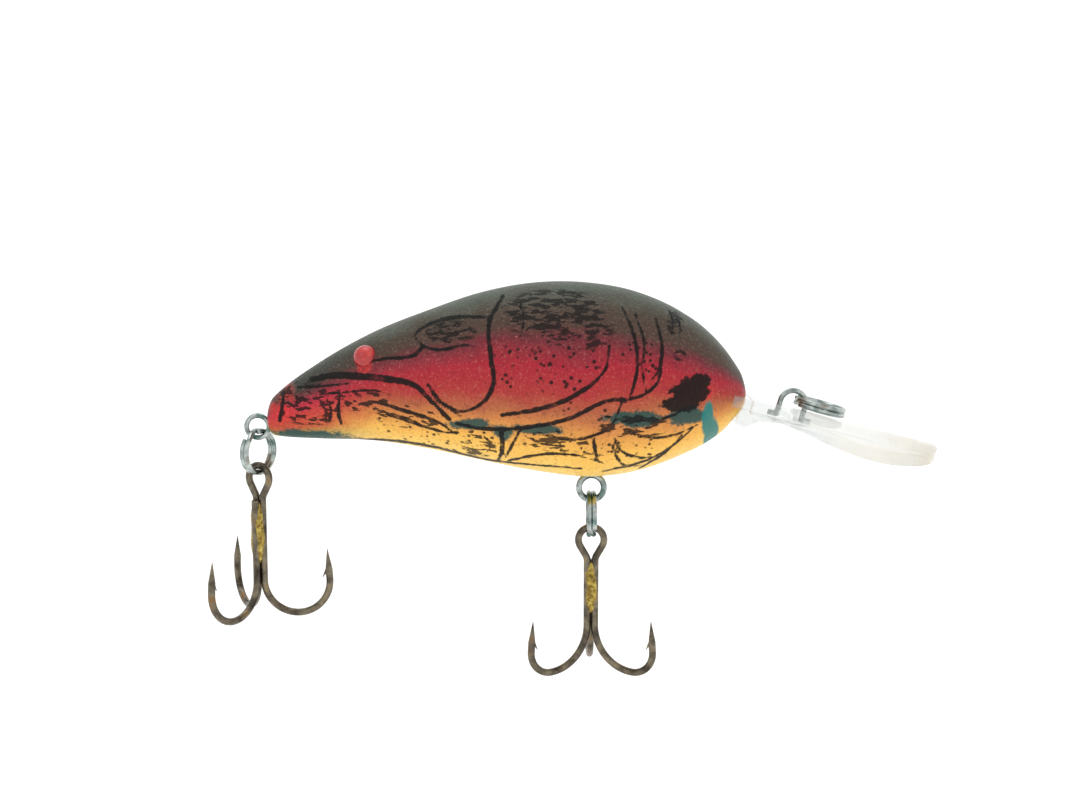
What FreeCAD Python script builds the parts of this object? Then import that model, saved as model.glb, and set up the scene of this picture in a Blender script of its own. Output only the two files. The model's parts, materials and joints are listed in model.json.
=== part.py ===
"""Diving crankbait lure: two-shell hollow body, clear lip, wire hangers, split rings, two trebles.

Frame: millimetres, origin at the centre of the line-tie loop on the lip, +X towards the nose and
lip tip, +Z up, +Y to the lure's left.  The body hangs level and the trebles hang straight down.
"""
import FreeCAD, Part
import math
import os

V = FreeCAD.Vector
doc = FreeCAD.newDocument("crankbait_lure")

# ---------------------------------------------------------------- driving dimensions
SIZES = [
    # body
    ("body_length", 52.6),      # tail face to nose tip
    ("body_height", 21.35),     # deepest section, back to belly
    ("body_width", 15.6),       # widest section
    ("nose_setback", 5.2),      # nose tip behind the line-tie loop centre
    ("wall", 1.2),              # moulded wall of each shell
    ("nose_block", 7.3),        # solid plastic behind the nose tip
    ("tail_block", 11.8),       # solid plastic ahead of the tail face
    ("fit_gap", 0.06),          # clearance of every captured piece in its pocket
    # lip
    ("lip_pitch", 15.0),        # lip slopes down by this angle
    ("lip_reach", 16.4),        # line-tie loop centre to lip tip, along the lip
    ("lip_width", 20.4),
    ("lip_thick", 1.35),
    ("lip_drop", 0.45),         # lip's upper face below the loop centre
    ("lip_arch", 50.0),         # radius of the lip's crosswise arch
    ("waist_width", 8.8),       # lip width where it leaves the nose
    ("rib_width", 4.0),
    ("rib_depth", 2.0),         # rib below the plate at the nose
    ("tongue_width", 6.6),
    ("tongue_thick", 1.2),
    ("tongue_reach", 12.2),     # tongue's inner end behind the loop centre
    ("barb_bar_width", 8.8),    # cross bar that locks the tongue
    ("barb_bar_length", 1.4),
    # line-tie loop, moulded into the lip
    ("tie_wire", 0.6),
    ("tie_bow", 1.4),           # loop radius to the wire's centre
    ("tie_leg", 1.55),
    ("tie_foot", 1.0),
    # hook hangers, figure-eight wires
    ("belly_wire", 0.7),
    ("belly_bow", 1.375),
    ("belly_span", 5.6),        # outer eye centre to inner eye centre
    ("belly_back", "=nose_setback + body_length * 0.3213"),       # outer eye behind the origin
    ("belly_below", 9.4),       # outer eye below the origin
    ("tail_wire", 0.55),
    ("tail_bow", 1.225),
    ("tail_span", 8.8),
    ("tail_back", "=nose_setback + body_length + 1.1"),
    ("tail_below", 2.6),
    ("tail_tilt", 11.0),        # tail hanger rises forward by this angle
    ("locating_pin", 0.8),      # pin that joins the shells inside each inner eye
    ("pin_reach", 0.8),
    # ballast and rattle
    ("ballast_width", 5.6),
    ("ballast_length", 5.4),
    ("ballast_back", "=nose_setback + body_length * 0.213"),
    ("ballast_below", 2.2),
    ("shot_width", 4.2),
    ("rattle_bore", 4.6),
    ("rattle_length", 12.6),    # inside length of the rattle tube
    ("rattle_back", "=nose_setback + body_length * 0.5894"),      # middle of the tube behind the origin
    ("rattle_above", 3.0),
    ("rattle_wall", 0.7),
    # eyes
    ("eye_width", 2.6),
    ("eye_back", "=nose_setback + body_length * 0.7852"),
    ("eye_above", 5.6),
    ("eye_sink", 0.35),         # bead centre below the painted skin
    ("eye_pin", 0.9),
    ("eye_pin_reach", 2.1),
    # split rings
    ("ring_wire", 0.58),
    ("hook_ring", 5.2),         # outside width of the two hook rings
    ("line_ring", 5.8),         # outside width of the line-tie ring
    ("ring_lean", 30.0),        # the tail ring and hook are turned this far about Z
    # trebles
    ("hook_wire", 0.8),
    ("hook_bundle", "=hook_wire * 0.625"),       # leg centres from the shank axis
    ("hook_eye", 1.42),         # eye radius to the wire's centre
    ("belly_length", 16.7),     # over eye and bend
    ("tail_length", 17.4),
    ("belly_heel", 4.7),        # first, gentle bend radius
    ("belly_throat", 2.5),      # second, tight bend radius
    ("tail_heel", 3.7),
    ("tail_throat", 3.6),
    ("prong_run", 1.1),
    ("point_length", 2.3),
    ("barb_length", 1.5),
    ("tie_rise", 0.42),         # the line ring rides this far above the lip
    ("link_gap", 0.04),         # play between two linked wires
]

sheet = doc.addObject("Spreadsheet::Sheet", "sizes")
for row, (alias, value) in enumerate(SIZES, start=1):
    sheet.set("A%d" % row, alias)
    sheet.set("B%d" % row, str(value))
    sheet.setAlias("B%d" % row, alias)
doc.recompute()


def size(expression):
    """Value of an expression on the sheet, such as 'sizes.wall * 2'."""
    return float(sheet.evalExpression(expression))


def bind(item, **expressions):
    for prop, expression in expressions.items():
        item.setExpression(prop, expression)
    return item


def place(item, at=V(0, 0, 0), rotation=FreeCAD.Rotation()):
    item.Placement = FreeCAD.Placement(at, rotation)
    return item


def facing(direction, across=None):
    """Rotation that takes +Z to direction, and +X to across when it is given."""
    if across is None:
        return FreeCAD.Rotation(V(0, 0, 1), direction)
    return FreeCAD.Rotation(across, direction.cross(across), direction, "ZXY")


def cylinder(name, radius, length, at=V(0, 0, 0), along=V(0, 0, 1)):
    item = doc.addObject("Part::Cylinder", name)
    bind(item, Radius=radius, Height=length)
    return place(item, at, facing(along))


def box(name, length, width, height, at, rotation=FreeCAD.Rotation()):
    item = doc.addObject("Part::Box", name)
    bind(item, Length=length, Width=width, Height=height)
    return place(item, at, rotation)


def sphere(name, radius, at):
    return place(bind(doc.addObject("Part::Sphere", name), Radius=radius), at)


def torus(name, bow, wire_radius, at=V(0, 0, 0), axis=V(0, 0, 1), start=None, sweep=360.0):
    item = doc.addObject("Part::Torus", name)
    bind(item, Radius1=bow, Radius2=wire_radius)
    item.Angle3 = sweep
    return place(item, at, facing(axis, start))


def cone(name, radius_a, radius_b, length, at, along):
    item = doc.addObject("Part::Cone", name)
    bind(item, Radius1=radius_a, Radius2=radius_b, Height=length)
    return place(item, at, facing(along))


def fuse(name, items):
    item = doc.addObject("Part::MultiFuse", name)
    item.Shapes = items
    return item


def cut(name, base, tool):
    item = doc.addObject("Part::Cut", name)
    item.Base = base
    item.Tool = tool
    return item


def common(name, items):
    item = doc.addObject("Part::MultiCommon", name)
    item.Shapes = items
    return item


NODES = []


def node(item, label):
    """Name a finished sub-part; its label is also its file name."""
    item.Label = label
    NODES.append(item)
    return item


# ---------------------------------------------------------------- body form
# Each station: distance behind the nose tip as a share of the length, upper and lower edge as
# shares of the height above the nose tip line, and half width as a share of the full width.
STATIONS = [
    (0.000, 0.062, -0.066, 0.060),
    (0.019, 0.138, -0.112, 0.154),
    (0.044, 0.225, -0.182, 0.256),
    (0.082, 0.324, -0.252, 0.346),
    (0.139, 0.424, -0.322, 0.423),
    (0.224, 0.518, -0.398, 0.481),
    (0.329, 0.569, -0.430, 0.500),
    (0.433, 0.571, -0.402, 0.497),
    (0.548, 0.522, -0.346, 0.462),
    (0.662, 0.428, -0.285, 0.397),
    (0.776, 0.316, -0.243, 0.314),
    (0.890, 0.159, -0.234, 0.186),
    (0.966, 0.027, -0.224, 0.123),
    (1.000, -0.048, -0.213, 0.080),
]
NOSE_HEIGHT = 1.07          # nose tip line above the line-tie loop centre, mm

NOSE_X = -size("sizes.nose_setback")
TAIL_X = NOSE_X - size("sizes.body_length")


def station_sections(name, stations, inset, x_shift=0.0):
    """One upright ellipse per station, drawn in by inset all round."""
    sections = []
    for index, (share, upper, lower, half) in enumerate(stations):
        ellipse = doc.addObject("Part::Ellipse", "%s_section_%d" % (name, index))
        bind(
            ellipse,
            MajorRadius="sizes.body_height * %.4f - %s" % ((upper - lower) / 2, inset),
            MinorRadius="sizes.body_width * %.4f - %s" % (half, inset),
        )
        # the section starts at its side, so the loft's seam stays off the shells' joint
        ellipse.Angle1 = 90.0
        ellipse.Angle2 = 90.0
        middle = NOSE_HEIGHT + size("sizes.body_height") * (upper + lower) / 2
        at = V(NOSE_X - size("sizes.body_length") * share + x_shift, 0, middle)
        place(ellipse, at, FreeCAD.Rotation(V(0, 0, 1), V(0, 1, 0), V(-1, 0, 0), "ZXY"))
        sections.append(ellipse)
    return sections


def loft(name, sections):
    item = doc.addObject("Part::Loft", name)
    item.Sections = sections
    item.Solid = True
    item.Ruled = False
    return item


def station_at(share):
    """Station interpolated between its two neighbours."""
    for near, far in zip(STATIONS, STATIONS[1:]):
        if near[0] <= share <= far[0]:
            mix = (share - near[0]) / (far[0] - near[0])
            return tuple(a + (b - a) * mix for a, b in zip(near, far))
    raise ValueError("station outside the body: %g" % share)


def skin_half_width(x, z):
    """Distance from the middle plane to the painted skin at a place on the side."""
    share, upper, lower, half = station_at((NOSE_X - x) / size("sizes.body_length"))
    middle = NOSE_HEIGHT + size("sizes.body_height") * (upper + lower) / 2
    reach = size("sizes.body_height") * (upper - lower) / 2
    return size("sizes.body_width") * half * math.sqrt(1 - ((z - middle) / reach) ** 2)


hull = loft("hull_form", station_sections("hull", STATIONS, "0"))

first = size("sizes.nose_block / sizes.body_length")
last = 1 - size("sizes.tail_block / sizes.body_length")
inner = [station_at(first)] + [s for s in STATIONS if first + 0.02 < s[0] < last - 0.02]
inner.append(station_at(last))
cavity = loft("hull_cavity", station_sections("cavity", inner, "sizes.wall"))

# ---------------------------------------------------------------- ribs moulded inside the shells
DEEP = "sizes.body_width * 2"
belly_eye = V(-size("sizes.belly_back"), 0, -size("sizes.belly_below"))
belly_up = V(0, 0, 1)
tail_eye = V(-size("sizes.tail_back"), 0, -size("sizes.tail_below"))
tilt = math.radians(size("sizes.tail_tilt"))
tail_forward = V(math.cos(tilt), 0, math.sin(tilt))
rattle_start = V(
    -size("sizes.rattle_back + sizes.rattle_length / 2"), 0, size("sizes.rattle_above")
)
ballast_start = V(
    -size("sizes.ballast_back + sizes.ballast_length / 2"), 0, -size("sizes.ballast_below")
)

belly_inner = belly_eye + belly_up * size("sizes.belly_span")
hanger_block_half = size("sizes.belly_bow + sizes.belly_wire / 2 + sizes.wall")
hanger_block = box(
    "hanger_block",
    "2 * (sizes.belly_bow + sizes.belly_wire / 2 + sizes.wall)",
    DEEP,
    "sizes.belly_span + sizes.belly_bow + sizes.belly_wire / 2 + sizes.wall",
    belly_eye + V(-hanger_block_half, -size("sizes.body_width"), 0),
)
trough = box(
    "ballast_trough",
    "sizes.ballast_length + 2 * sizes.wall",
    DEEP,
    "sizes.body_height / 2",
    ballast_start + V(-size("sizes.wall"), -size("sizes.body_width"), -size("sizes.body_height / 2")),
)
rattle_tube = cylinder(
    "rattle_tube",
    "sizes.rattle_bore / 2 + sizes.rattle_wall",
    "sizes.rattle_length + 2 * sizes.rattle_wall",
    rattle_start + V(-size("sizes.rattle_wall"), 0, 0),
    V(1, 0, 0),
)
rattle_web = box(
    "rattle_web",
    "sizes.rattle_length + 2 * sizes.rattle_wall",
    DEEP,
    "sizes.rattle_wall",
    rattle_start + V(-size("sizes.rattle_wall"), -size("sizes.body_width"), -size("sizes.rattle_wall / 2")),
)
ribs = fuse("ribs", [hanger_block, trough, rattle_tube, rattle_web])
ribs_inside = common("ribs_inside", [ribs, hull])
hollow = cut("hollow_hull", hull, cavity)
moulding = fuse("moulding", [hollow, ribs_inside])

# ---------------------------------------------------------------- lip frame
pitch = FreeCAD.Rotation(V(0, 1, 0), size("sizes.lip_pitch"))


def on_lip(u, v, w):
    """Point of the lip's own frame: u towards its tip, v across, w off its upper face."""
    return pitch.multVec(V(u, v, w))


def lip_box(name, u0, u1, half, w0, w1, grow="0"):
    """Box in the lip's frame from u0 to u1 and w0 to w1, half wide each way; grow is added all round."""
    grown = size(grow)
    corner = on_lip(size(u0) - grown, -size(half) - grown, size(w0) - grown)
    return box(
        name,
        "(%s) - (%s) + 2 * %s" % (u1, u0, grow),
        "2 * (%s + %s)" % (half, grow),
        "(%s) - (%s) + 2 * %s" % (w1, w0, grow),
        corner,
        pitch,
    )


TONGUE_TOP = "-sizes.lip_drop - 0.15"
TONGUE_LOW = "-sizes.lip_drop - 0.15 - sizes.tongue_thick"
ROOT = "-sizes.nose_setback + 0.3"


def lip_insert(name, grow):
    """The tongue and its locking bar, or with grow the slot that takes them."""
    tongue = lip_box(
        name + "_tongue",
        "-sizes.tongue_reach", ROOT + " + 0.4", "sizes.tongue_width / 2", TONGUE_LOW, TONGUE_TOP, grow,
    )
    bar = lip_box(
        name + "_bar",
        "-sizes.tongue_reach", "-sizes.tongue_reach + sizes.barb_bar_length",
        "sizes.barb_bar_width / 2", TONGUE_LOW, TONGUE_TOP, grow,
    )
    return [tongue, bar]


RIB_PROFILE = [
    # along the lip behind (-) or ahead of the loop, depth as a share of rib_depth below the plate
    (-1.10, 1.00),
    (-0.92, 1.05),
    (-0.66, 0.52),
    (0.54, 0.00),
]


def lip_rib(name, grow):
    """Keel moulded under the lip's root; with grow, the notch that it needs in the chin."""
    setback = size("sizes.nose_setback")
    top = -size("sizes.lip_drop") - 0.3
    plate_low = -size("sizes.lip_drop + sizes.lip_thick") + 0.1
    outline = [(RIB_PROFILE[0][0] * setback - grow, top + grow)]
    for share, depth in RIB_PROFILE:
        shift = -grow if share == RIB_PROFILE[0][0] else grow * 0.3
        outline.append((share * setback + shift, plate_low - depth * size("sizes.rib_depth") - grow))
    outline.append((RIB_PROFILE[-1][0] * setback + grow, top + grow))
    half = size("sizes.rib_width / 2") + grow
    points = [on_lip(u, -half, w) for u, w in outline]
    face = Part.Face(Part.makePolygon(points + [points[0]]))
    keel = doc.addObject("Part::Feature", name)
    keel.Shape = face.extrude(V(0, 2 * half, 0))
    return keel


# ---------------------------------------------------------------- figure-eight hook hangers
def hanger_parts(name, wire, bow, span, at, along):
    """Outer eye, doubled neck and inner eye of one bent wire."""
    inner_at = at + along * size(span)
    side = V(0, 1, 0).cross(along)
    outer_eye = torus(name + "_outer", bow, "%s / 2" % wire, at, V(0, 1, 0))
    inner_eye = torus(name + "_inner", bow, "%s / 2" % wire, inner_at, V(0, 1, 0))
    necks = []
    for sign in (-1, 1):
        start = at + along * size(bow) + side * (sign * size(wire) * 0.45)
        necks.append(
            cylinder(
                "%s_neck_%s" % (name, "ab"[(sign + 1) // 2]),
                "%s / 2" % wire, "%s - 2 * %s" % (span, bow), start, along,
            )
        )
    return [outer_eye, inner_eye] + necks


def hanger_pocket(name, wire, bow, span, at, along):
    """Clearance for the hanger in the shells, and the peg that fills its inner eye."""
    inner_at = at + along * size(span)
    side = V(0, 1, 0).cross(along)
    gap = "sizes.fit_gap"
    half = size("%s / 2 + %s" % (wire, gap))
    disc = "%s + %s / 2 + %s" % (bow, wire, gap)
    deep = "%s + 2 * %s" % (wire, gap)
    square = FreeCAD.Rotation(side, V(0, 1, 0), along, "ZXY")
    corner = at - side * size(disc) + V(0, -half, 0)
    mouth = box(name + "_mouth", "2 * (%s)" % disc, deep, disc, corner, square)
    inner_disc = cylinder(name + "_pocket", disc, deep, inner_at + V(0, -half, 0), V(0, 1, 0))
    neck_half = size("%s * 0.95 + %s" % (wire, gap))
    neck = box(
        name + "_channel",
        "2 * (%s * 0.95 + %s)" % (wire, gap), deep, span,
        at - side * neck_half + V(0, -half, 0),
        square,
    )
    space = fuse(name + "_space", [mouth, inner_disc, neck])
    peg_height = "%s / 2 + %s + 0.3" % (wire, gap)
    peg = cylinder(
        name + "_peg",
        "%s - %s / 2 - %s" % (bow, wire, gap), peg_height,
        inner_at - V(0, size(peg_height), 0), V(0, 1, 0),
    )
    return space, peg


BELLY = ("sizes.belly_wire", "sizes.belly_bow", "sizes.belly_span", belly_eye, belly_up)
TAIL = ("sizes.tail_wire", "sizes.tail_bow", "sizes.tail_span", tail_eye, tail_forward)
node(fuse("belly_hanger", hanger_parts("belly_hanger_wire", *BELLY)), "belly_hanger")
node(fuse("tail_hanger", hanger_parts("tail_hanger_wire", *TAIL)), "tail_hanger")
belly_space, belly_peg = hanger_pocket("belly", *BELLY)
tail_space, tail_peg = hanger_pocket("tail", *TAIL)

# ---------------------------------------------------------------- eyes: glass beads on pins
eye_x = -size("sizes.eye_back")
eye_z = size("sizes.eye_above")
eye_skin = skin_half_width(eye_x, eye_z)
slope = (skin_half_width(eye_x, eye_z - 0.05) - skin_half_width(eye_x, eye_z + 0.05)) / 0.1
eye_centres = {}
eye_outward = {}
for side_name, sign in (("left", 1), ("right", -1)):
    outward = V(0, sign, slope)
    outward.normalize()
    eye_outward[side_name] = outward
    eye_centres[side_name] = V(eye_x, sign * eye_skin, eye_z) - outward * size("sizes.eye_sink")


def bead(name, side_name, grow):
    centre = eye_centres[side_name]
    inward = eye_outward[side_name] * -1
    ball = sphere(name + "_ball", "sizes.eye_width / 2 + %s" % grow, centre)
    pin = cylinder(
        name + "_pin", "sizes.eye_pin / 2 + %s" % grow, "sizes.eye_pin_reach + %s" % grow, centre, inward
    )
    return fuse(name, [ball, pin])


for side_name in ("left", "right"):
    node(bead("%s_bead" % side_name, side_name, "0"), "%s_eye" % side_name)
eye_socket = bead("eye_socket", "right", "sizes.fit_gap")

# ---------------------------------------------------------------- the two body shells
ballast_space = cylinder(
    "ballast_space",
    "sizes.ballast_width / 2 + sizes.fit_gap",
    "sizes.ballast_length + 2 * sizes.fit_gap",
    ballast_start + V(-size("sizes.fit_gap"), 0, 0),
    V(1, 0, 0),
)
rattle_space = cylinder(
    "rattle_space", "sizes.rattle_bore / 2", "sizes.rattle_length", rattle_start, V(1, 0, 0)
)
keel_notch = lip_rib("slot_keel", size("sizes.fit_gap"))
lip_slot = fuse("lip_slot", lip_insert("slot", "sizes.fit_gap") + [keel_notch])
spaces = fuse(
    "spaces", [belly_space, tail_space, ballast_space, rattle_space, lip_slot, eye_socket]
)
right_room = box(
    "right_room",
    "sizes.body_length * 2", "sizes.body_width", "sizes.body_height * 2",
    V(-size("sizes.body_length * 1.5"), -size("sizes.body_width"), -size("sizes.body_height")),
)
right_blank = common("right_blank", [moulding, right_room])
machined = cut("machined", right_blank, spaces)
right_half = fuse("right_half", [machined, belly_peg, tail_peg])
left_half = doc.addObject("Part::Mirroring", "left_half")
left_half.Source = right_half
left_half.Normal = V(0, 1, 0)

pin_sites = {
    "belly": belly_inner,
    "tail": tail_eye + tail_forward * size("sizes.tail_span"),
}
pins = [
    cylinder(site + "_pin", "sizes.locating_pin / 2", "2 * sizes.pin_reach",
             at - V(0, size("sizes.pin_reach"), 0), V(0, 1, 0))
    for site, at in pin_sites.items()
]
pin_holes = [
    cylinder(site + "_pin_hole", "sizes.locating_pin / 2 + sizes.fit_gap",
             "2 * (sizes.pin_reach + sizes.fit_gap)",
             at - V(0, size("sizes.pin_reach + sizes.fit_gap"), 0), V(0, 1, 0))
    for site, at in pin_sites.items()
]
node(cut("left_shell_bored", left_half, fuse("pin_holes", pin_holes)), "left_shell")
node(fuse("right_shell_pinned", [right_half] + pins), "right_shell")

# ---------------------------------------------------------------- ballast and rattle shots
node(
    cylinder("ballast_slug", "sizes.ballast_width / 2", "sizes.ballast_length", ballast_start, V(1, 0, 0)),
    "ballast_weight",
)
shot_drop = size("(sizes.rattle_bore - sizes.shot_width) / 2 - 0.02")
shot_ahead = size("sizes.rattle_length - sizes.shot_width / 2 - sizes.fit_gap")
front_shot = rattle_start + V(shot_ahead, 0, -shot_drop)
for order, name in enumerate(("front_rattle_shot", "rear_rattle_shot")):
    at = front_shot - V(order * size("sizes.shot_width + sizes.fit_gap"), 0, 0)
    node(sphere(name + "_ball", "sizes.shot_width / 2", at), name)

# ---------------------------------------------------------------- lip
LIP_OUTLINE = [
    # share of the reach ahead of the loop, half width as a share of lip_width
    (-0.10, 0.245),
    (0.12, 0.385),
    (0.34, 0.490),
    (0.56, 0.490),
    (0.77, 0.400),
    (0.93, 0.230),
]
root_u = size(ROOT)
reach = size("sizes.lip_reach")
waist = size("sizes.waist_width / 2")
edge = [(root_u, waist)] + [(a * reach, b * size("sizes.lip_width")) for a, b in LIP_OUTLINE]
rim_points = [V(u, v, 0) for u, v in edge] + [V(reach, 0, 0)] + [V(u, -v, 0) for u, v in reversed(edge)]
rim = Part.BSplineCurve()
rim.interpolate(Points=rim_points)
outline = doc.addObject("Sketcher::SketchObject", "lip_outline")
outline.addGeometry(rim, False)
outline.addGeometry(Part.LineSegment(rim_points[-1], rim_points[0]), False)
doc.recompute()
lip_blank = doc.addObject("Part::Extrusion", "lip_blank")
lip_blank.Base = outline
lip_blank.DirMode = "Custom"
lip_blank.Dir = V(0, 0, 1)
bind(lip_blank, LengthFwd="sizes.lip_width / 2")
lip_blank.Solid = True
lip_blank.Reversed = False
place(outline, on_lip(0, 0, -size("sizes.lip_width / 2")), pitch)
lip_blank.Dir = pitch.multVec(V(0, 0, 1))
arch_start = on_lip(-reach, 0, -size("sizes.lip_drop + sizes.lip_arch"))
ahead = pitch.multVec(V(1, 0, 0))
arch_upper = cylinder("arch_upper", "sizes.lip_arch", "3 * sizes.lip_reach", arch_start, ahead)
arch_lower = cylinder(
    "arch_lower", "sizes.lip_arch - sizes.lip_thick", "3 * sizes.lip_reach", arch_start, ahead
)
arch = cut("lip_arch_shell", arch_upper, arch_lower)
plate = common("lip_plate", [lip_blank, arch])
lip_solid = fuse("lip_solid", [plate, lip_rib("keel", 0.0)] + lip_insert("lip", "0"))


def tie_wire(name, grow):
    """Loop, two legs and two bent feet of the line-tie staple."""
    radius = "sizes.tie_wire / 2 + %s" % grow
    up = pitch.multVec(V(0, 0, 1))
    bow = size("sizes.tie_bow")
    leg = size("sizes.tie_leg")
    parts = [torus(name + "_bow", "sizes.tie_bow", radius, V(0, 0, 0), V(0, -1, 0), ahead, 180.0)]
    for tag, sign in (("rear", -1), ("front", 1)):
        corner = on_lip(sign * bow, 0, -leg)
        parts.append(cylinder("%s_%s_leg" % (name, tag), radius, "sizes.tie_leg", corner, up))
        parts.append(sphere("%s_%s_corner" % (name, tag), radius, corner))
        parts.append(cylinder("%s_%s_foot" % (name, tag), radius, "sizes.tie_foot", corner, ahead * sign))
    return fuse(name, parts)


node(cut("lip_moulded", lip_solid, tie_wire("tie_space", "0.01")), "diving_lip")
node(tie_wire("tie_staple", "0"), "line_tie_loop")

# ---------------------------------------------------------------- split rings
RING_PITCH = "sizes.ring_wire * 0.93"


def seat(hole, turned=0.0):
    """How far off the centre of a round hole of that radius a two-turn ring's wires can lie.

    A ring that is turned by an angle from square presents its wires wider by its secant.
    """
    secant = 1 / math.cos(turned)
    play = size("%s - sizes.link_gap" % hole) - size("sizes.ring_wire / 2") * secant
    return math.sqrt(play ** 2 - (size("%s / 2" % RING_PITCH) * secant) ** 2)


def split_ring(name, width, centre, axis):
    bow = "(%s - sizes.ring_wire) / 2" % width
    half = size(RING_PITCH) / 2
    turns = [
        torus("%s_turn_%d" % (name, order), bow, "sizes.ring_wire / 2", centre + axis * (sign * half), axis)
        for order, sign in enumerate((-1, 1))
    ]
    return node(fuse(name + "_coil", turns), name)


ring_bow = size("(sizes.hook_ring - sizes.ring_wire) / 2")
line_bow = size("(sizes.line_ring - sizes.ring_wire) / 2")
lean = math.radians(size("sizes.ring_lean"))
belly_axis = V(1, 0, 0)
tail_axis = V(math.cos(lean), -math.sin(lean), 0)
belly_seat = seat("sizes.belly_bow - sizes.belly_wire / 2")
tail_seat = seat("sizes.tail_bow - sizes.tail_wire / 2", lean)
tie_seat = size("sizes.tie_bow - sizes.tie_wire / 2 - sizes.ring_wire / 2 - sizes.link_gap")
belly_ring_centre = belly_eye - V(0, 0, belly_seat + ring_bow)
tail_ring_centre = tail_eye - V(0, 0, tail_seat + ring_bow)
upper_wire = size("sizes.tie_rise") + size(RING_PITCH) / 2
tie_ring_u = math.sqrt(tie_seat ** 2 - upper_wire ** 2) + line_bow
split_ring("belly_split_ring", "sizes.hook_ring", belly_ring_centre, belly_axis)
split_ring("tail_split_ring", "sizes.hook_ring", tail_ring_centre, tail_axis)
line_ring_centre = on_lip(tie_ring_u, 0, size("sizes.tie_rise"))
split_ring("line_split_ring", "sizes.line_ring", line_ring_centre, pitch.multVec(V(0, 0, 1)))


# ---------------------------------------------------------------- treble hooks
class BentWire:
    """A round wire laid along runs and tangent bends, as a list of fused primitives."""

    def __init__(self, name, radius, at, heading):
        self.name = name
        self.radius = radius
        self.at = at
        self.heading = heading
        self.parts = []

    def _label(self):
        return "%s_%d" % (self.name, len(self.parts))

    def run(self, length):
        self.parts.append(cylinder(self._label(), self.radius, length, self.at, self.heading))
        self.at = self.at + self.heading * size(length)

    def bend(self, bow, degrees, normal):
        """Turn by degrees about normal, counter-clockwise, round a circle of radius bow."""
        inward = normal.cross(self.heading)
        centre = self.at + inward * size(bow)
        start = inward * -1
        self.parts.append(torus(self._label(), bow, self.radius, centre, normal, start, degrees))
        turn = FreeCAD.Rotation(normal, degrees)
        self.at = centre + turn.multVec(start) * size(bow)
        self.heading = turn.multVec(self.heading)

    def point(self, length, tip):
        self.parts.append(cone(self._label(), self.radius, tip, length, self.at, self.heading))
        self.at = self.at + self.heading * size(length)


EYE_FLARE = 30.0            # the eye's legs close on the shank at this angle, degrees
NECK_BOW = "sizes.hook_wire * 1.5"
TIP_TURN = 94.0             # the throat turns a little past upright
BARB_ANGLE = 32.0


def prong(wire, azimuth, heel, throat):
    """Heel, throat, spear point and barb of one prong, from the end of its shank leg."""
    out = V(math.cos(azimuth), math.sin(azimuth), 0)
    normal = V(math.sin(azimuth), -math.cos(azimuth), 0)
    wire.bend(heel, 90.0, normal)
    wire.bend(throat, TIP_TURN, normal)
    wire.run("sizes.prong_run")
    spear = wire.heading
    root = wire.at + spear * size("sizes.point_length * 0.15")
    wire.point("sizes.point_length", "0.03")
    backward = FreeCAD.Rotation(normal, -BARB_ANGLE).multVec(spear * -1)
    wire.parts.append(
        cone(wire.name + "_barb", "sizes.hook_wire * 0.32", "0.03", "sizes.barb_length", root, backward)
    )


def treble(name, eye_centre, turned, length, heel, throat):
    """Double hook with its eye, single hook and the brazing that joins them."""
    wire = "sizes.hook_wire / 2"
    bundle = size("sizes.hook_bundle")
    down = V(0, 0, -1)
    yaw = FreeCAD.Rotation(V(0, 0, 1), turned)

    def spot(azimuth_degrees):
        angle = math.radians(azimuth_degrees + turned)
        return V(math.cos(angle), math.sin(angle), 0), angle

    eye_plane = V(0, -bundle * 0.5, 0)
    across = bundle * math.cos(math.radians(30.0))
    flare = math.radians(EYE_FLARE)
    bow = size("sizes.hook_eye")
    neck = size(NECK_BOW)
    slant = (bow * math.cos(flare) - across - neck * (1 - math.cos(flare))) / math.sin(flare)
    neck_end = bow * math.sin(flare) + slant * math.cos(flare) + neck * math.sin(flare)
    shank_end = size(length) - bow - size("sizes.hook_wire") - size(heel)
    shank = "%.6f" % (shank_end - neck_end)
    double_parts = [
        torus(
            name + "_eye", "sizes.hook_eye", wire, eye_centre,
            yaw.multVec(V(0, -1, 0)),
            yaw.multVec(V(math.cos(flare), 0, -math.sin(flare))),
            180.0 + 2 * EYE_FLARE,
        )
    ]
    axis_at = eye_centre - yaw.multVec(eye_plane)
    for tag, sign, azimuth in (("a", 1, -30.0), ("b", -1, -150.0)):
        start = eye_centre + yaw.multVec(V(sign * bow * math.cos(flare), 0, -bow * math.sin(flare)))
        heading = yaw.multVec(V(-sign * math.sin(flare), 0, -math.cos(flare)))
        leg = BentWire("%s_leg_%s" % (name, tag), wire, start, heading)
        leg.run("%.6f" % slant)
        leg.bend(NECK_BOW, EYE_FLARE, yaw.multVec(V(0, -sign, 0)))
        leg.run(shank)
        prong(leg, spot(azimuth)[1], heel, throat)
        double_parts += leg.parts
    node(fuse(name + "_double", double_parts), name + "_double_hook")

    out, angle = spot(90.0)
    single = BentWire(name + "_single", wire, axis_at + out * bundle + down * neck_end, down)
    single.run(shank)
    prong(single, angle, heel, throat)
    node(fuse(name + "_single_wire", single.parts), name + "_single_hook")

    braze_top = neck_end - size("sizes.hook_wire * 0.5")
    braze_length = "(%s) * 0.8" % shank
    core = cylinder(name + "_braze_core", "sizes.hook_bundle + sizes.hook_wire * 0.2", braze_length,
                    axis_at + down * (braze_top + size("sizes.hook_wire * 0.6")), down)
    legs = [
        cylinder("%s_braze_leg_%d" % (name, order), wire, length,
                 axis_at + spot(azimuth)[0] * bundle, down)
        for order, azimuth in enumerate((-30.0, -150.0, 90.0))
    ]
    node(cut(name + "_braze_fill", core, fuse(name + "_braze_legs", legs)), name + "_braze")


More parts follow.
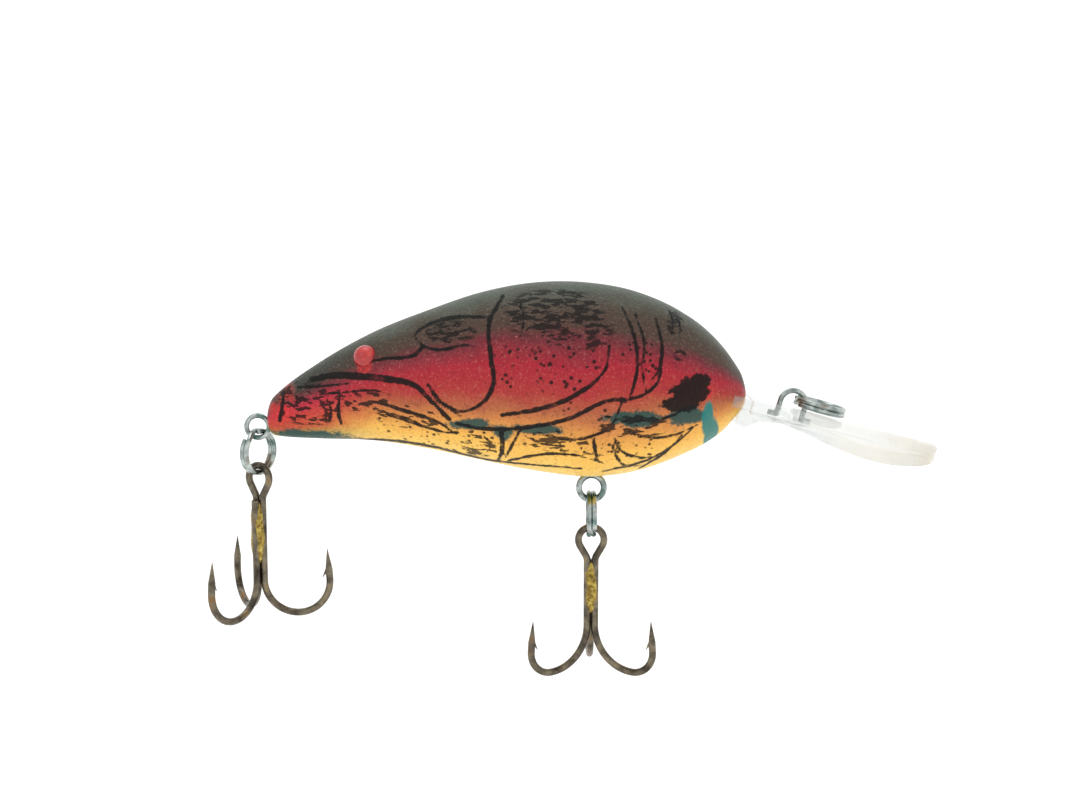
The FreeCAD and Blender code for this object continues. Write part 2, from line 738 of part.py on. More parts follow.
hook_drop = V(0, 0, ring_bow + seat("sizes.hook_eye - sizes.hook_wire / 2"))
belly_hook_eye = belly_ring_centre - hook_drop
tail_hook_eye = tail_ring_centre - hook_drop
treble("belly_treble", belly_hook_eye, 0.0, "sizes.belly_length", "sizes.belly_heel", "sizes.belly_throat")
treble("tail_treble", tail_hook_eye, 150.0, "sizes.tail_length", "sizes.tail_heel", "sizes.tail_throat")

# ---------------------------------------------------------------- recompute, test and export
doc.recompute()
for item in doc.Objects:
    if "Invalid" in item.State or "Error" in item.State:
        raise RuntimeError("%s did not build: %s" % (item.Name, item.State))
os.makedirs("parts", exist_ok=True)
for item in NODES:
    shape = item.Shape
    if shape.isNull() or not shape.isValid() or not shape.Solids:
        raise RuntimeError("%s is not a sound solid" % item.Label)
for item in NODES:
    item.Shape.exportStep("parts/%s.step" % item.Label)
    bounds = item.Shape.BoundBox
    print("%-26s solids %d volume %9.3f  x %.2f..%.2f  y %.2f..%.2f  z %.2f..%.2f" % (
        item.Label, len(item.Shape.Solids), item.Shape.Volume,
        bounds.XMin, bounds.XMax, bounds.YMin, bounds.YMax, bounds.ZMin, bounds.ZMax))
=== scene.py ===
"""A deep-bodied crankbait: a hollow moulded body in sprayed and inked paint, with a clear diving
lip, wire hangers, split rings and two treble hooks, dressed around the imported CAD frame."""

import json
import math

import bmesh
import bpy
import numpy as np
from mathutils import Matrix, Vector


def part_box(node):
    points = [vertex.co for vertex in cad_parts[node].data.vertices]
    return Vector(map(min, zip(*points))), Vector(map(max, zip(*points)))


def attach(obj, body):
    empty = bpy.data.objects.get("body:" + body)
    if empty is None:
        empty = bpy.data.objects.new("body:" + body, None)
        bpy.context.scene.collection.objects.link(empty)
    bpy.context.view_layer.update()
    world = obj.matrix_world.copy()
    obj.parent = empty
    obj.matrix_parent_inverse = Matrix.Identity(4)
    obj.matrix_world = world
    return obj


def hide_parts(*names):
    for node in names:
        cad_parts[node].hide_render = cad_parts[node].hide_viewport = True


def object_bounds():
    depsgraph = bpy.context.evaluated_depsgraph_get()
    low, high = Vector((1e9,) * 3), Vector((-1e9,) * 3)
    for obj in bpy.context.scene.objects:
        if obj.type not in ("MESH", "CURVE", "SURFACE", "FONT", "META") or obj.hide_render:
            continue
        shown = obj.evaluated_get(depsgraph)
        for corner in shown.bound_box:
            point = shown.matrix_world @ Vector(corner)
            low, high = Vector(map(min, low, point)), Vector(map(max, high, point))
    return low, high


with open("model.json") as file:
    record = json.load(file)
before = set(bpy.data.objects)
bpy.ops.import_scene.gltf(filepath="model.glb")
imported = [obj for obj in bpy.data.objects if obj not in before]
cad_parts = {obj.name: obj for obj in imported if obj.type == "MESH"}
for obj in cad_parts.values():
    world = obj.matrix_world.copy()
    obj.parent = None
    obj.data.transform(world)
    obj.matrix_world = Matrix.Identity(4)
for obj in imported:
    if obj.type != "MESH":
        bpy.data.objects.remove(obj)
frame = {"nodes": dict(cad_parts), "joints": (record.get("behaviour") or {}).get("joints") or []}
cad_low, cad_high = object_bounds()
MM = 0.001

# ---------------------------------------------------------------------------------------------
# The view and the light: a normal lens close by and slightly above the lure, in a white sweep
# lit by a pale room and three weak softboxes: a large one overhead and one to each side in front.
# ---------------------------------------------------------------------------------------------
VIEW_CENTRE = Vector((-27.8, 0, -0.2)) * MM
VIEW_DISTANCE = 0.16
VIEW_TIP = math.radians(7.2)
VIEW_WIDTH = 118.8 * MM
SENSOR_WIDTH = 36.0
FLOOR_DROP = 7 * MM

camera_data = bpy.data.cameras.new("side_view")
camera_data.sensor_width = SENSOR_WIDTH
camera_data.lens = SENSOR_WIDTH * VIEW_DISTANCE / VIEW_WIDTH
camera_data.clip_start = 0.01
camera = bpy.data.objects.new("side_view", camera_data)
away = Vector((0, -math.cos(VIEW_TIP), math.sin(VIEW_TIP)))
camera.location = VIEW_CENTRE + away * VIEW_DISTANCE
camera.rotation_euler = (math.pi / 2 - VIEW_TIP, 0, 0)
bpy.context.collection.objects.link(camera)
bpy.context.scene.camera = camera
bpy.context.scene.view_settings.view_transform = "Standard"


def colour(code):
    """The linear colour of a six-figure screen colour code."""
    parts = [int(code[i : i + 2], 16) / 255 for i in (0, 2, 4)]
    linear = [c / 12.92 if c < 0.04045 else ((c + 0.055) / 1.055) ** 2.4 for c in parts]
    return (*linear, 1.0)


class Shade:
    """One value in a finish's nodes. Arithmetic on it adds Math nodes."""

    def __init__(self, tree, socket):
        self.tree = tree
        self.socket = socket

    def node(self, kind, settings, sockets, out=0):
        """Adds a node with its settings made first, then its sockets, and gives one output."""
        made = self.tree.nodes.new("ShaderNode" + kind)
        for name, value in settings.items():
            if name == "stops":
                ramp = made.color_ramp
                while len(ramp.elements) < len(value):
                    ramp.elements.new(1.0)
                for stop, (place, code) in zip(ramp.elements, value):
                    stop.position = place
                    stop.color = colour(code)
            else:
                setattr(made, name, value)
        for name, value in sockets.items():
            if isinstance(value, Shade):
                self.tree.links.new(value.socket, made.inputs[name])
            else:
                made.inputs[name].default_value = value
        return Shade(self.tree, made.outputs[out])

    def maths(self, operation, *values):
        return self.node("Math", {"operation": operation}, dict(enumerate(values)))

    def __add__(self, other):
        return self.maths("ADD", self, other)

    def __sub__(self, other):
        return self.maths("SUBTRACT", self, other)

    def __rsub__(self, other):
        return self.maths("SUBTRACT", other, self)

    def __mul__(self, other):
        return self.maths("MULTIPLY", self, other)

    __radd__ = __add__
    __rmul__ = __mul__

    def step(self, low, high):
        """0 below low, 1 above high, and smooth between them."""
        settings = {"interpolation_type": "SMOOTHSTEP"}
        return self.node("MapRange", settings, {"Value": self, "From Min": low, "From Max": high})

    def over(self, under, top):
        """Colour top laid over colour under, as thickly as this value says."""
        return self.node("Mix", {"data_type": "RGBA"}, {0: self, 6: under, 7: top}, 2)


class Finish:
    """A finish in the making: its material, its shader and the nodes that it starts from."""

    def __init__(self, name, **fixed):
        self.material = bpy.data.materials.new(name)
        self.material.use_nodes = True
        tree = self.material.node_tree
        self.shader = tree.nodes["Principled BSDF"]
        for socket, value in fixed.items():
            self.shader.inputs[socket.replace("_", " ")].default_value = value
        start = tree.nodes.new("ShaderNodeTexCoord")
        self.place = Shade(tree, start.outputs["Object"])

    def stretched(self, x, y, z, turn=0):
        """The place on the piece turned about Y and scaled each way, for streaks."""
        sockets = {"Vector": self.place, "Rotation": (0, turn, 0), "Scale": (x, y, z)}
        return self.place.node("Mapping", {}, sockets)

    def grain(self, size, detail=3.0, roughness=0.5, place=None):
        """Noise whose lumps are about size across."""
        sockets = {"Vector": place or self.place, "Scale": 1 / size}
        sockets.update({"Detail": detail, "Roughness": roughness})
        return self.place.node("TexNoise", {}, sockets)

    def cells(self, size, place=None):
        """How far a point is from the middle of its own cell, of cells about size across."""
        sockets = {"Vector": place or self.place, "Scale": 1 / size}
        return self.place.node("TexVoronoi", {}, sockets)

    def painted(self, name):
        """A value that was stored on the mesh's points."""
        return self.place.node("Attribute", {"attribute_name": name}, {}, "Fac")

    def along(self, axis):
        """Object X, Y or Z, in metres."""
        return self.place.node("SeparateXYZ", {}, {0: self.place}, axis)

    def ramp(self, value, *stops):
        return self.place.node("ValToRGB", {"stops": stops}, {0: value})

    def feed(self, **sockets):
        """Links what changes over the surface to the shader's sockets."""
        for name, value in sockets.items():
            target = self.shader.inputs[name.replace("_", " ")]
            self.shader.id_data.links.new(value.socket, target)

    def rough(self, height, depth):
        """Raises the surface by height times depth metres."""
        sockets = {"Height": height, "Distance": depth, "Strength": 1.0}
        self.feed(Normal=self.place.node("Bump", {}, sockets))

    def on_node(self, *names):
        """Gives the finish to CAD nodes that are carried over as they are."""
        for name in names:
            carried = frame["nodes"][name]
            for held in carried.material_slots:
                held.material = self.material


def finished(name, shape, finish, body, stands_for=()):
    """The mesh shape as a smooth piece in its finish, riding on its body."""
    mesh = bpy.data.meshes.new(name)
    shape.to_mesh(mesh)
    shape.free()
    mesh.shade_smooth()
    mesh.materials.append(finish.material)
    piece = bpy.data.objects.new(name, mesh)
    bpy.context.collection.objects.link(piece)
    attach(piece, body)
    if stands_for:
        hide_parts(*stands_for)
    return piece


lowest = cad_low.z - FLOOR_DROP
SWEEP_HALF = 1.6
SWEEP_BEND = 0.5
BEND_SEGMENTS = 12
CARD_GRAIN = 0.05
CARD_GLOW = 0.12
ROOM_STRENGTH = 1.0
sweep_shape = bmesh.new()
bmesh.ops.create_grid(sweep_shape, x_segments=1, y_segments=1, size=SWEEP_HALF)
bmesh.ops.translate(sweep_shape, verts=sweep_shape.verts, vec=(0, 0, lowest))
far_edge = [e for e in sweep_shape.edges if all(v.co.y > 0 for v in e.verts)]
raised = bmesh.ops.extrude_edge_only(sweep_shape, edges=far_edge)["geom"]
raised_points = [p for p in raised if isinstance(p, bmesh.types.BMVert)]
bmesh.ops.translate(sweep_shape, verts=raised_points, vec=(0, 0, SWEEP_HALF))
fold = [e for e in sweep_shape.edges if all(v.co.y > 1 and v.co.z < 0 for v in e.verts)]
bmesh.ops.bevel(
    sweep_shape,
    geom=fold,
    offset=SWEEP_BEND,
    segments=BEND_SEGMENTS,
    profile=0.5,
    affect="EDGES",
    material=-1,
)
sweep_mesh = bpy.data.meshes.new("white_sweep")
sweep_shape.to_mesh(sweep_mesh)
sweep_shape.free()
sweep_mesh.shade_smooth()
sweep = bpy.data.objects.new("white_sweep", sweep_mesh)
bpy.context.collection.objects.link(sweep)
sweep_finish = Finish(
    "white_card", Roughness=0.95, Emission_Color=(1, 1, 1, 1), Emission_Strength=CARD_GLOW
)
card_grain = sweep_finish.grain(CARD_GRAIN)
sweep_finish.feed(Base_Color=sweep_finish.ramp(card_grain, (0, "fdfdfd"), (1, "ffffff")))
sweep_mesh.materials.append(sweep_finish.material)

world = bpy.data.worlds.new("pale_room")
world.use_nodes = True
world.node_tree.nodes["Background"].inputs["Color"].default_value = (1, 1, 1, 1)
world.node_tree.nodes["Background"].inputs["Strength"].default_value = ROOM_STRENGTH
bpy.context.scene.world = world


def softbox(name, place, size, power):
    """A square area light at a place, turned to the lure's middle."""
    light = bpy.data.lights.new(name, "AREA")
    light.size = size
    light.energy = power
    lamp = bpy.data.objects.new(name, light)
    lamp.location = place
    facing = VIEW_CENTRE - lamp.location
    lamp.rotation_euler = facing.to_track_quat("-Z", "Y").to_euler()
    bpy.context.collection.objects.link(lamp)


softbox("overhead_softbox", Vector((-0.05, 0.02, 0.6)), 0.4, 0.7)
softbox("front_left_softbox", Vector((-0.35, -0.5, 0.25)), 0.2, 0.15)
softbox("front_right_softbox", Vector((0.4, -0.45, 0.2)), 0.2, 0.1)

# ---------------------------------------------------------------------------------------------
# Inside the body: a cast lead ballast in its trough and two hardened steel shots in the rattle
# tube. The shots are bright from tumbling; the lead is dull and grey.
# ---------------------------------------------------------------------------------------------
cast_lead = Finish("cast_lead", Metallic=0.85)
lead_skin = cast_lead.grain(1.2 * MM, 4)
cast_lead.feed(
    Base_Color=cast_lead.ramp(lead_skin, (0.3, "5c6066"), (0.7, "8b8e92")),
    Roughness=lead_skin * 0.3 + 0.42,
)
cast_lead.rough(lead_skin, 0.08 * MM)
cast_lead.on_node("ballast_weight")

steel_shot = Finish("steel_shot", Metallic=1.0)
scuffs = steel_shot.grain(0.5 * MM, 5, 0.7)
steel_shot.feed(
    Base_Color=steel_shot.ramp(scuffs, (0.35, "9fa3a8"), (0.7, "d2d5d8")),
    Roughness=scuffs * 0.3 + 0.1,
)
steel_shot.rough(scuffs, 0.01 * MM)
steel_shot.on_node("front_rattle_shot", "rear_rattle_shot")

# ---------------------------------------------------------------------------------------------
# The body: two moulded halves welded on the middle line, filled, rubbed down and painted as one.
# Its sides are upright ellipses that swell behind the nose and thin to a blunt tail.
# ---------------------------------------------------------------------------------------------
SECTIONS = (
    # share of the length behind the nose, upper edge, lower edge, half width
    (0.000, 0.062, -0.066, 0.060),
    (0.019, 0.138, -0.112, 0.154),
    (0.044, 0.225, -0.182, 0.256),
    (0.082, 0.324, -0.252, 0.346),
    (0.139, 0.424, -0.322, 0.423),
    (0.224, 0.518, -0.398, 0.481),
    (0.329, 0.569, -0.430, 0.500),
    (0.433, 0.571, -0.402, 0.497),
    (0.548, 0.522, -0.346, 0.462),
    (0.662, 0.428, -0.285, 0.397),
    (0.776, 0.316, -0.243, 0.314),
    (0.890, 0.159, -0.234, 0.186),
    (0.966, 0.027, -0.224, 0.123),
    (1.000, -0.048, -0.213, 0.080),
)
NOSE_ROUND = 0.014
TAIL_ROUND = 0.020
OUTLINE_MARGIN = 0.004
BACK_MARGIN = 0.003
ROUND_SIDES = 216
LENGTH_STEPS = 300


def smooth_through(wanted, places, values):
    """A smooth line through values at places, read at each wanted place."""
    slopes = np.gradient(values, places)
    i = np.clip(np.searchsorted(places, wanted, side="right") - 1, 0, len(places) - 2)
    gap = places[i + 1] - places[i]
    t = (wanted - places[i]) / gap
    first = values[i] * (1 + 2 * t) + slopes[i] * gap * t
    second = values[i + 1] * (3 - 2 * t) - slopes[i + 1] * gap * (1 - t)
    return first * (1 - t) ** 2 + second * t**2


shell_low = Vector(map(min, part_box("left_shell")[0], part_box("right_shell")[0]))
shell_high = Vector(map(max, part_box("left_shell")[1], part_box("right_shell")[1]))
body_long = shell_high.x - shell_low.x
body_tall = shell_high.z - shell_low.z
sections = np.array(SECTIONS)

body_shape = bmesh.new()
bmesh.ops.create_uvsphere(
    body_shape, u_segments=ROUND_SIDES, v_segments=LENGTH_STEPS, radius=1
)
bmesh.ops.rotate(
    body_shape, verts=body_shape.verts, matrix=Matrix.Rotation(math.pi / 2, 3, "Y")
)
ball = np.array([v.co for v in body_shape.verts])
behind = (1 - ball[:, 0]) / 2
ring = np.hypot(ball[:, 1], ball[:, 2])
turn_y = np.divide(ball[:, 1], ring, out=np.zeros_like(ring), where=ring > 1e-6)
turn_z = np.divide(ball[:, 2], ring, out=np.zeros_like(ring), where=ring > 1e-6)
upper, lower, half = (
    smooth_through(behind, sections[:, 0], sections[:, column]) for column in (1, 2, 3)
)
nose_close = np.clip(1 - behind / NOSE_ROUND, 0, 1)
tail_close = np.clip(1 - (1 - behind) / TAIL_ROUND, 0, 1)
swell = np.sqrt(1 - nose_close**2.0) * (1 - tail_close**3.0) ** 0.5
outline_span = sections[:, 1].max() - sections[:, 2].min() + OUTLINE_MARGIN
rise = body_tall / outline_span
waist_line = shell_high.z - (sections[:, 1].max() + BACK_MARGIN) * rise
middle = waist_line + (upper + lower) / 2 * rise
tall = (upper - lower) / 2 * rise * swell
wide = half / 0.5 * (shell_high.y - shell_low.y) / 2 * swell
side_x = shell_high.x - behind * body_long
side_y = wide * turn_y
side_z = middle + tall * turn_z
for point, x, y, z in zip(body_shape.verts, side_x, side_y, side_z):
    point.co = (x, y, z)
bmesh.ops.recalc_face_normals(body_shape, faces=body_shape.faces)

# The ink is drawn with a pen on each side: shares of the body's length behind the nose and of
# its height above the belly, each line with its own width.
PEN_LINES = (
    # carapace edge, and the two collars behind the head
    (
        0.50,
        (0.505, 0.935), (0.532, 0.800), (0.527, 0.640), (0.522, 0.520), (0.545, 0.420),
        (0.590, 0.375), (0.640, 0.440),
    ),
    (0.36, (0.264, 0.880), (0.241, 0.740), (0.236, 0.600), (0.248, 0.470), (0.262, 0.420)),
    (0.30, (0.238, 0.850), (0.222, 0.720), (0.226, 0.590), (0.216, 0.440)),
    (0.36, (0.196, 0.830), (0.186, 0.700), (0.192, 0.590), (0.206, 0.540)),
    # the long claw arm and its wrist
    (
        0.72,
        (0.900, 0.510), (0.850, 0.535), (0.770, 0.535), (0.690, 0.510), (0.655, 0.440),
        (0.612, 0.330),
    ),
    (0.40, (0.655, 0.505), (0.628, 0.420), (0.590, 0.350)),
    (0.42, (0.762, 0.412), (0.700, 0.370), (0.640, 0.320), (0.600, 0.255)),
    (0.34, (0.740, 0.350), (0.690, 0.310), (0.630, 0.265), (0.596, 0.262)),
    # upper claw: back edge, fingers and palm
    (0.40, (0.540, 0.835), (0.600, 0.830), (0.650, 0.800), (0.682, 0.745), (0.664, 0.690)),
    (0.34, (0.664, 0.690), (0.630, 0.675), (0.585, 0.700), (0.556, 0.690)),
    (0.40, (0.664, 0.690), (0.690, 0.640), (0.742, 0.628), (0.790, 0.600)),
    # tail fan ribs that sweep under the side
    (
        0.50,
        (0.506, 0.360), (0.450, 0.382), (0.395, 0.420), (0.335, 0.500), (0.300, 0.590),
        (0.292, 0.700),
    ),
    (
        0.46,
        (0.600, 0.310), (0.535, 0.285), (0.450, 0.300), (0.372, 0.345), (0.300, 0.430),
        (0.236, 0.450), (0.196, 0.520), (0.186, 0.640),
    ),
    # belly plates and their cross lines
    (
        0.40,
        (0.880, 0.170), (0.760, 0.200), (0.650, 0.170), (0.545, 0.105), (0.440, 0.085),
        (0.345, 0.070),
    ),
    (0.52, (0.508, 0.290), (0.506, 0.180), (0.515, 0.110)),
    (0.34, (0.470, 0.280), (0.487, 0.195), (0.500, 0.125)),
    (0.34, (0.495, 0.105), (0.430, 0.150), (0.360, 0.150), (0.300, 0.105)),
    (0.40, (0.322, 0.240), (0.318, 0.170), (0.312, 0.110)),
    (0.36, (0.438, 0.275), (0.390, 0.240), (0.345, 0.240), (0.290, 0.300), (0.268, 0.420)),
    # legs folded back under the nose
    (0.34, (0.280, 0.235), (0.262, 0.165), (0.225, 0.130), (0.200, 0.130)),
    (0.30, (0.268, 0.300), (0.215, 0.245), (0.160, 0.250), (0.110, 0.300)),
    (0.30, (0.262, 0.350), (0.205, 0.330), (0.160, 0.360), (0.135, 0.400)),
    (0.30, (0.300, 0.050), (0.215, 0.110), (0.160, 0.190), (0.118, 0.290)),
    (0.30, (0.225, 0.060), (0.175, 0.150), (0.142, 0.245)),
    # tail strokes
    (0.46, (0.968, 0.300), (0.962, 0.380), (0.960, 0.450)),
    (0.42, (0.838, 0.290), (0.842, 0.370), (0.836, 0.450)),
    (0.34, (0.862, 0.300), (0.858, 0.360), (0.866, 0.420)),
    (0.30, (0.930, 0.470), (0.880, 0.480), (0.820, 0.500)),
    (0.28, (0.880, 0.440), (0.830, 0.455), (0.770, 0.470), (0.730, 0.450)),
    # shading strokes on the plates and the nose
    (0.28, (0.470, 0.900), (0.462, 0.820), (0.470, 0.740)),
    (0.26, (0.166, 0.860), (0.160, 0.800), (0.166, 0.750)),
    (0.26, (0.150, 0.830), (0.146, 0.780), (0.150, 0.740)),
    (0.26, (0.545, 0.250), (0.530, 0.200), (0.540, 0.150)),
    (0.26, (0.460, 0.250), (0.420, 0.210), (0.380, 0.200)),
    (0.24, (0.350, 0.210), (0.336, 0.160), (0.300, 0.150)),
    (0.30, (0.285, 0.210), (0.270, 0.120), (0.250, 0.080), (0.220, 0.080)),
    (0.26, (0.300, 0.360), (0.262, 0.330), (0.230, 0.300)),
    (0.26, (0.760, 0.370), (0.700, 0.330), (0.660, 0.290)),
)
# Patches worked over with a dry pen or a brush: middle along, middle up, half length, half height
BRUSHED = {
    "blot": (
        (0.128, 0.470, 0.050, 0.085), (0.108, 0.520, 0.030, 0.050), (0.150, 0.415, 0.055, 0.050),
    ),
    "scribble": (
        (0.400, 0.850, 0.115, 0.120), (0.350, 0.780, 0.070, 0.110), (0.610, 0.760, 0.055, 0.055),
        (0.155, 0.800, 0.020, 0.060), (0.150, 0.650, 0.014, 0.030),
    ),
    "stipple": (
        (0.420, 0.620, 0.120, 0.160), (0.400, 0.220, 0.090, 0.070), (0.545, 0.210, 0.045, 0.080),
        (0.700, 0.260, 0.070, 0.060), (0.240, 0.200, 0.070, 0.080), (0.225, 0.640, 0.050, 0.100),
        (0.620, 0.170, 0.080, 0.050), (0.340, 0.380, 0.050, 0.060),
    ),
    "dashes": (
        (0.905, 0.390, 0.070, 0.110), (0.800, 0.420, 0.070, 0.055), (0.690, 0.340, 0.070, 0.060),
        (0.555, 0.200, 0.035, 0.080), (0.390, 0.210, 0.060, 0.040), (0.240, 0.300, 0.070, 0.060),
    ),
    "algae": (
        (0.900, 0.215, 0.120, 0.060), (0.505, 0.270, 0.030, 0.060), (0.430, 0.290, 0.080, 0.045),
        (0.570, 0.310, 0.070, 0.040), (0.240, 0.340, 0.090, 0.060), (0.130, 0.350, 0.060, 0.070),
    ),
    "chin": (
        (0.090, 0.330, 0.016, 0.120), (0.078, 0.230, 0.020, 0.130), (0.072, 0.150, 0.018, 0.060),
    ),
    "blush": (
        (0.094, 0.460, 0.022, 0.060), (0.786, 0.590, 0.022, 0.050), (0.792, 0.560, 0.014, 0.040),
        (0.970, 0.400, 0.050, 0.140),
    ),
}
CURVE_STEPS = 8
PATCH_REACH = 1.25

side_view = np.column_stack((side_x, side_z))


def on_side(points):
    """Shares along and up the body as places in its side view."""
    shares = np.array(points)
    across = shell_high.x - shares[:, 0] * body_long
    return np.column_stack((across, shell_low.z + shares[:, 1] * body_tall))


ink = np.full(len(side_view), 1.0)
for width, *points in PEN_LINES:
    knots = on_side(points)
    steps = np.arange(len(knots), dtype=float)
    fine = np.linspace(0, len(knots) - 1, (len(knots) - 1) * CURVE_STEPS + 1)
    path = np.column_stack([smooth_through(fine, steps, knots[:, k]) for k in (0, 1)])
    for start, end, share in zip(path, path[1:], fine / fine[-1]):
        run = end - start
        along_run = np.clip((side_view - start) @ run / (run @ run), 0, 1)
        gap = np.linalg.norm(side_view - start - along_run[:, None] * run, axis=1)
        taper = 0.62 + 0.38 * math.sin(math.pi * min(share * 1.1 + 0.12, 1))
        ink = np.minimum(ink, gap - width / 2 * MM * taper)

marks = {
    "ink": ink / MM,
    "girth": (side_z - (middle - tall)) / np.maximum(2 * tall, 1e-6),
    "length": behind,
}
for name, patches in BRUSHED.items():
    cover = np.zeros(len(side_view))
    for u, w, long, high in patches:
        centre = on_side([(u, w)])[0]
        across = (side_x - centre[0]) / (long * body_long)
        upward = (side_z - centre[1]) / (high * body_tall)
        cover = np.maximum(cover, np.clip(PATCH_REACH - np.hypot(across, upward), 0, 1))
    marks[name] = cover

paint = Finish("sprayed_body_paint", Coat_Roughness=0.28, Specular_IOR_Level=0.16)
girth = paint.painted("girth")
drift = paint.grain(6 * MM, 3)
cloud = paint.grain(1.6 * MM, 4, 0.6)
fleck = paint.grain(0.32 * MM, 3, 0.6)
height = girth + (drift - 0.5) * 0.16 + (cloud - 0.5) * 0.07
rear = paint.painted("length")
coats = paint.ramp(
    height,
    (0.00, "f6cd68"),
    (0.15, "efb650"),
    (0.27, "cf8640"),
    (0.38, "ab5a38"),
    (0.47, "a8302f"),
    (0.60, "a41e2f"),
    (0.71, "70252f"),
    (0.79, "4a342c"),
    (0.90, "40362a"),
    (1.00, "4a5449"),
)
warm_tail = paint.ramp(
    height,
    (0.00, "e0ab4e"),
    (0.08, "8a7c3f"),
    (0.20, "b8502e"),
    (0.36, "c23a2f"),
    (0.54, "b3283c"),
    (0.66, "742a33"),
    (0.78, "332f29"),
    (1.00, "3c433b"),
)
skin = (rear + (cloud - 0.5) * 0.08).step(0.72, 0.92).over(coats, warm_tail)
# Pale pink flecks on the flanks are painted glints: highlights laid into the paint's colour.
painted_glint_flecks = (fleck.step(0.60, 0.74) * girth.step(0.22, 0.42) * (1 - girth.step(0.74, 0.88))) * 0.26
skin = painted_glint_flecks.over(skin, colour("f0907c"))
# Small dark red-brown specks scattered over the paint.
dark_red_specks = paint.grain(0.55 * MM, 2).step(0.60, 0.72) * 0.28
skin = dark_red_specks.over(skin, colour("4a1f20"))
blush = paint.painted("blush").step(0.25, 0.9) * cloud.step(0.3, 0.6)
skin = (blush * 0.62).over(skin, colour("dc3330"))
tooth = paint.grain(0.26 * MM, 2, 0.7)
skin = (tooth.step(0.52, 0.72) * 0.30).over(skin, colour("1c1410"))
# Pale cream specks, fewer on the belly, are painted sparkle: highlights laid into the paint's
# colour.
painted_glint_specks = (1 - tooth.step(0.30, 0.46)) * 0.10 * (1 - girth.step(0.0, 0.25) * 0.4)
skin = painted_glint_specks.over(skin, colour("ffe9c4"))
algae = (paint.painted("algae") + (cloud - 0.5) * 1.3 + (tooth - 0.5) * 0.5).step(0.42, 0.74)
skin = (algae * 0.96).over(skin, colour("1c4640"))
bloom_band = (paint.painted("chin") + (cloud - 0.5) * 0.5).step(0.35, 0.6)
skin = (bloom_band * 0.95).over(skin, colour("0d7672"))

SCRAWL_LEAN = math.radians(-38)
wobble = (paint.grain(0.7 * MM, 3) - 0.5) * 0.34
pen = 1 - (paint.painted("ink") + wobble).step(-0.05, 0.07)
worn_pen = pen * (0.78 + 0.22 * paint.grain(0.9 * MM, 3).step(0.3, 0.45))
dots = (1 - paint.cells(0.72 * MM).step(0.24, 0.36)) * paint.grain(2.2 * MM).step(0.40, 0.50)
stipple = dots * (paint.painted("stipple") + (drift - 0.5) * 0.5).step(0.16, 0.4)
streak = paint.grain(0.62 * MM, 2, 0.5, paint.stretched(0.42, 1, 1.3)).step(0.525, 0.56)
dashes = streak * paint.painted("dashes").step(0.12, 0.3)
scrawl = paint.grain(0.62 * MM, 3, 0.6, paint.stretched(0.42, 1, 1.2, SCRAWL_LEAN)).step(0.49, 0.53)
scribble = scrawl * (paint.painted("scribble") + (cloud - 0.5) * 0.5).step(0.18, 0.4)
blot = (paint.painted("blot") + (cloud - 0.5) * 1.1 + (fleck - 0.5) * 0.5).step(0.36, 0.48)
black = worn_pen.maths("MAXIMUM", worn_pen, stipple * 0.92)
black = black.maths("MAXIMUM", black, dashes * 0.92)
black = black.maths("MAXIMUM", black, scribble * 0.88)
black = black.maths("MAXIMUM", black, blot)
skin = (black * 0.97).over(skin, colour("0b0a09"))
metal_coat = girth.step(0.25, 0.45) * (1 - girth.step(0.72, 0.86)) * (1 - black)
paint.feed(
    Base_Color=skin,
    Metallic=metal_coat * 0.25,
    Roughness=0.40 + fleck * 0.25,
    Coat_Weight=(0.10 + 0.16 * drift) * (1 - black),
)
pebbles = tooth * 1.1 + paint.cells(0.38 * MM) * 0.6
paint.rough(pebbles + black * 0.3 + cloud * 0.5, 0.11 * MM)

painted_body = finished(
    "painted_body", body_shape, paint, "lure", ("left_shell", "right_shell")
)
for name, values in marks.items():
    stored = painted_body.data.attributes.new(name, "FLOAT", "POINT")
    stored.data.foreach_set("value", values.astype(np.float32))

# ---------------------------------------------------------------------------------------------
# The eyes: glass-hard red beads pressed on a pin into a shallow socket at the tail end, where the
# crayfish's head is, each with a collar of the paint that set round its foot.
# ---------------------------------------------------------------------------------------------
bead_glaze = Finish(
    "red_bead_glaze",
    Roughness=0.22,
    Coat_Weight=0.5,
    Coat_Roughness=0.06,
    Specular_IOR_Level=0.4,
)
bead_cloud = bead_glaze.grain(0.9 * MM, 3)
bead_speck = bead_glaze.grain(0.22 * MM, 2).step(0.64, 0.72)
bead_red = bead_glaze.ramp(bead_cloud, (0.3, "8c1119"), (0.55, "b01f20"), (0.75, "c83c30"))
bead_glaze.feed(Base_Color=(bead_speck * 0.5).over(bead_red, colour("8c1a1c")))
bead_glaze.rough(bead_cloud, 0.05 * MM)

